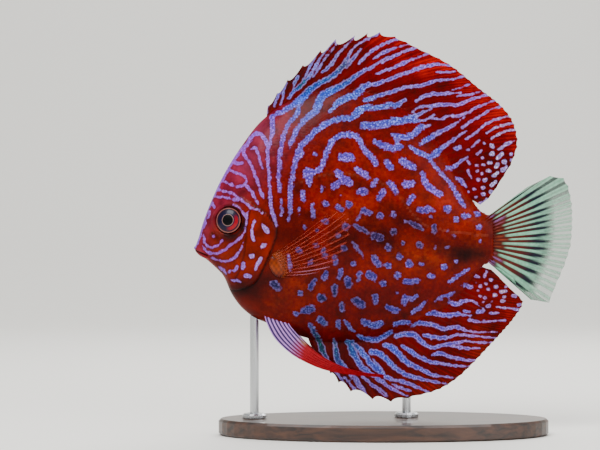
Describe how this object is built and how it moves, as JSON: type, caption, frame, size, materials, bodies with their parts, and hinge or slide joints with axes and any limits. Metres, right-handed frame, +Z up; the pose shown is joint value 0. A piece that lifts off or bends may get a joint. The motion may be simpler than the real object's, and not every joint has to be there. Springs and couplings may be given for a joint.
{
  "type": "discus fish display model",
  "caption": "Life-size still model of a tall, disc-shaped aquarium fish with long ribbed fins, held over a flat oval base by short rods.",
  "frame": {"origin": "under the middle of the whole model, on the surface that the stand's base rests on", "axes": "+Z up; the fish faces -X and its left side faces -Y"},
  "size_m": [0.1608, 0.066, 0.1709],
  "materials": {
    "body_skin": "glossy scaled skin, orange-red with blue-lilac stripes",
    "back_fin": "glossy ribbed web, red edge, blue streaks and mint dots",
    "belly_fin": "glossy ribbed web, red with blue streaks and mint dots",
    "tail_fin": "thin clear web with pale mint rays and dark streaks",
    "breast_fin": "thin clear web with reddish rays on a fleshy orange base",
    "pelvic_fin": "lilac front and scarlet trailing ray",
    "eye": "wet, dark red iris round a black pupil",
    "dark_wood": "satin dark stained wood",
    "steel": "polished rod"
  },
  "bodies": {
    "root": {"head": "body_skin", "torso": "body_skin", "tail_stalk": "body_skin", "gill_cover_left": "body_skin", "gill_cover_right": "body_skin", "dorsal_fin": "back_fin", "anal_fin": "belly_fin", "caudal_fin": "tail_fin", "pectoral_fin_left": "breast_fin", "pectoral_fin_right": "breast_fin", "pelvic_fin_left": "pelvic_fin", "pelvic_fin_right": "pelvic_fin", "eye_left": "eye", "eye_right": "eye", "stand_base": "dark_wood", "stand_rod_front": "steel", "stand_rod_rear": "steel"}
  },
  "joints": []
}
